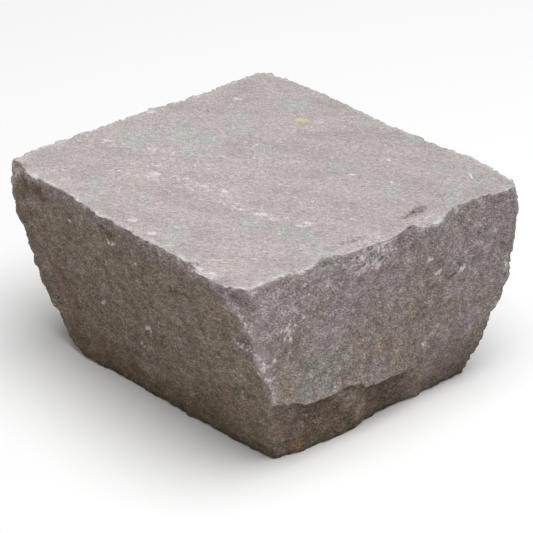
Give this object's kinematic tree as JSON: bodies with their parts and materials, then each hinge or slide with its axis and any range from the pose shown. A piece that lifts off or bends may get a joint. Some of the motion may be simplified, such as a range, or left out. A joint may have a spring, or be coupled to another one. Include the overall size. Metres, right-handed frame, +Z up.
{
  "type": "sandstone sett",
  "caption": "Small square paving block of riven sandstone: flat top, rough broken sides that taper in towards a smaller base.",
  "frame": {"origin": "middle of the bounding box in plan, at the level of the flat face the stone rests on", "axes": "+Z up out of the riven top, +X towards the broken side with the undercut ledge at its foot, +Y towards the plain back side"},
  "size_m": [0.1046, 0.0994, 0.0564],
  "materials": {
    "sandstone": "dry fine-grained sandstone, mauve grey with faint green patches, riven on top and rough broken on the sides"
  },
  "bodies": {
    "root": {"sett": "sandstone"}
  },
  "joints": []
}
